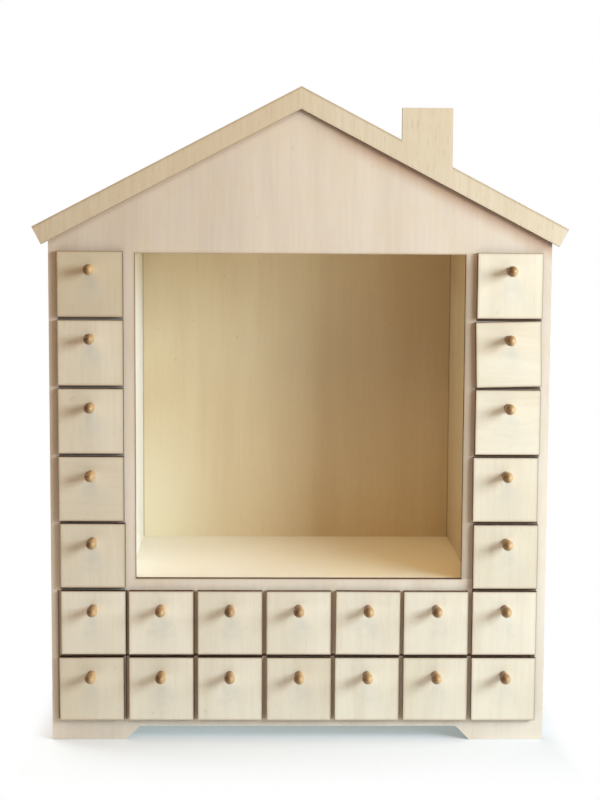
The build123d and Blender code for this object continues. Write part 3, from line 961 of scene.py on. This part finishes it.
class ADVENT_OT_stage(Operator):
    """Set up the white table, the lights and the camera"""

    bl_idname = "advent_house.stage"
    bl_label = "Set stage"

    def execute(self, context):
        stage = context.scene.advent_stage
        self.lay_table(stage)
        self.light_world(context, stage)
        key = (stage.key_width, stage.key_height)
        high = (stage.high_size, stage.high_size)
        rear = (stage.rear_size, stage.rear_size)
        lights = {
            "key_light": (stage.key_turn, stage.key_rise, key, stage.key_power, stage.key_tint),
            "high_light": (stage.high_turn, stage.high_rise, high, stage.high_power, stage.high_tint),
            "rear_light": (stage.rear_turn, stage.rear_rise, rear, stage.rear_power, stage.rear_tint),
        }
        for name, (turn, rise, size, power, tint) in lights.items():
            self.hang_light(name, turn, rise, stage.light_distance, size, power, tint)
        self.place_camera(context, stage)
        context.scene.view_settings.view_transform = "Standard"
        return {"FINISHED"}

    def lay_table(self, stage):
        """A wide white table that shows the shadow near the house and is plain white beyond."""
        bpy.ops.object.select_all(action="DESELECT")
        bpy.ops.mesh.primitive_plane_add(size=TABLE_SIZE, location=(0.0, 0.0, -TABLE_DROP))
        table = bpy.context.view_layer.objects.active
        table.name = "white_table"
        finish = Finish("table_white")
        start = finish.start
        rear = CAD_BOX[1][1]
        beside_x = abs(finish.x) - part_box("front_panel")[1].x
        beside_y = abs(finish.y - (FACE_Y + rear) / 2) - (rear - FACE_Y) / 2
        away = (beside_x * SIDE_FADE).most(beside_y)

        shaded = start.node("ShaderNodeBsdfDiffuse", sockets={"Color": (*stage.shade_tint, 1.0)})
        white = start.node("ShaderNodeEmission", sockets={"Color": WHITE, "Strength": 1.0})
        plain = away.ramp(SHADOW_START, SHADOW_REACH) * (1.0 - SHADOW_LEAST) + SHADOW_LEAST
        shown = start.node("ShaderNodeMixShader", sockets={0: plain, 1: shaded, 2: white})

        matt = start.node("ShaderNodeBsdfDiffuse", sockets={"Color": (*stage.table_tint, 1.0)})
        # The table glows near the house: painted light that it throws up onto the house
        thrown = {"Color": (*stage.glow_tint, 1.0), "Strength": stage.glow}
        glow = start.node("ShaderNodeEmission", sockets=thrown)
        glowing = start.node("ShaderNodeAddShader", sockets={0: matt, 1: glow})
        beyond = away.ramp(0.0, GLOW_REACH)
        lit = start.node("ShaderNodeMixShader", sockets={0: beyond, 1: glowing, 2: matt})

        seen = start.node("ShaderNodeLightPath", out="Is Camera Ray")
        mixed = start.node("ShaderNodeMixShader", sockets={0: seen, 1: lit, 2: shown})
        output = finish.tree.nodes["Material Output"]
        finish.tree.links.new(mixed.socket, output.inputs["Surface"])
        finish.tree.nodes.remove(finish.shader)
        table.data.materials.append(finish.material)

    def light_world(self, context, stage):
        """Even warm light from all round, seen as plain white."""
        world = bpy.data.worlds.new("white_room")
        context.scene.world = world
        world.use_nodes = True
        tree = world.node_tree
        start = Wire(tree)
        seen = start.node("ShaderNodeLightPath", out="Is Camera Ray")
        ambient = {"Color": (*stage.ambient_tint, 1.0), "Strength": stage.ambient}
        dim = start.node("ShaderNodeBackground", sockets=ambient)
        white = start.node("ShaderNodeBackground", sockets={"Color": WHITE, "Strength": 1.0})
        shown = start.node("ShaderNodeMixShader", sockets={0: seen, 1: dim, 2: white})
        tree.links.new(shown.socket, tree.nodes["World Output"].inputs["Surface"])
        tree.nodes.remove(tree.nodes["Background"])

    def hang_light(self, name, turn, rise, distance, size, power, tint):
        """A soft light of a width and a height that looks at the house."""
        aim = Vector((0.0, FACE_Y, AIM_Z))
        away = Vector((math.sin(turn) * math.cos(rise), -math.cos(turn) * math.cos(rise), math.sin(rise)))
        bpy.ops.object.light_add(type="AREA", location=aim + away * distance)
        light = bpy.context.view_layer.objects.active
        light.name = name
        light.rotation_euler = (-away).to_track_quat("-Z", "Y").to_euler()
        light.data.shape = "RECTANGLE"
        light.data.size, light.data.size_y = size
        light.data.energy = power
        light.data.color = tint[:3]
        light.visible_camera = False

    def place_camera(self, context, stage):
        """The camera looks slightly down at the front."""
        bpy.ops.object.camera_add(location=(CAMERA_X, FACE_Y - CAMERA_AWAY, CAMERA_Z), rotation=CAMERA_TURN)
        camera = context.view_layer.objects.active
        camera.name = "front_camera"
        camera.data.sensor_width = SENSOR_WIDTH
        camera.data.lens = stage.lens
        context.scene.camera = camera


class ADVENT_PT_house(Panel):
    """Steps and settings of the house"""

    bl_idname = "ADVENT_PT_house"
    bl_label = "Advent House"
    bl_space_type = "VIEW_3D"
    bl_region_type = "UI"
    bl_category = "Advent House"

    def draw(self, context):
        for step in STEPS:
            self.layout.operator(step.bl_idname)
        for group in SETTINGS:
            box = self.layout.box()
            settings = getattr(context.scene, group)
            for name in settings.bl_rna.properties.keys():
                if name not in ("rna_type", "name"):
                    box.prop(settings, name)


STEPS = (ADVENT_OT_cabinet, ADVENT_OT_drawers, ADVENT_OT_knobs, ADVENT_OT_stage)
SETTINGS = {
    "advent_plywood": PlywoodSettings,
    "advent_knobs": KnobSettings,
    "advent_stage": StageSettings,
}


def register():
    for group, settings in SETTINGS.items():
        bpy.utils.register_class(settings)
        setattr(bpy.types.Scene, group, PointerProperty(type=settings))
    for step in STEPS:
        bpy.utils.register_class(step)
    bpy.utils.register_class(ADVENT_PT_house)


def unregister():
    bpy.utils.unregister_class(ADVENT_PT_house)
    for step in reversed(STEPS):
        bpy.utils.unregister_class(step)
    for group, settings in SETTINGS.items():
        delattr(bpy.types.Scene, group)
        bpy.utils.unregister_class(settings)


def main():
    register()
    bpy.ops.advent_house.cabinet()
    bpy.ops.advent_house.drawers()
    bpy.ops.advent_house.knobs()
    bpy.ops.advent_house.stage()


if __name__ == "__main__":
    main()
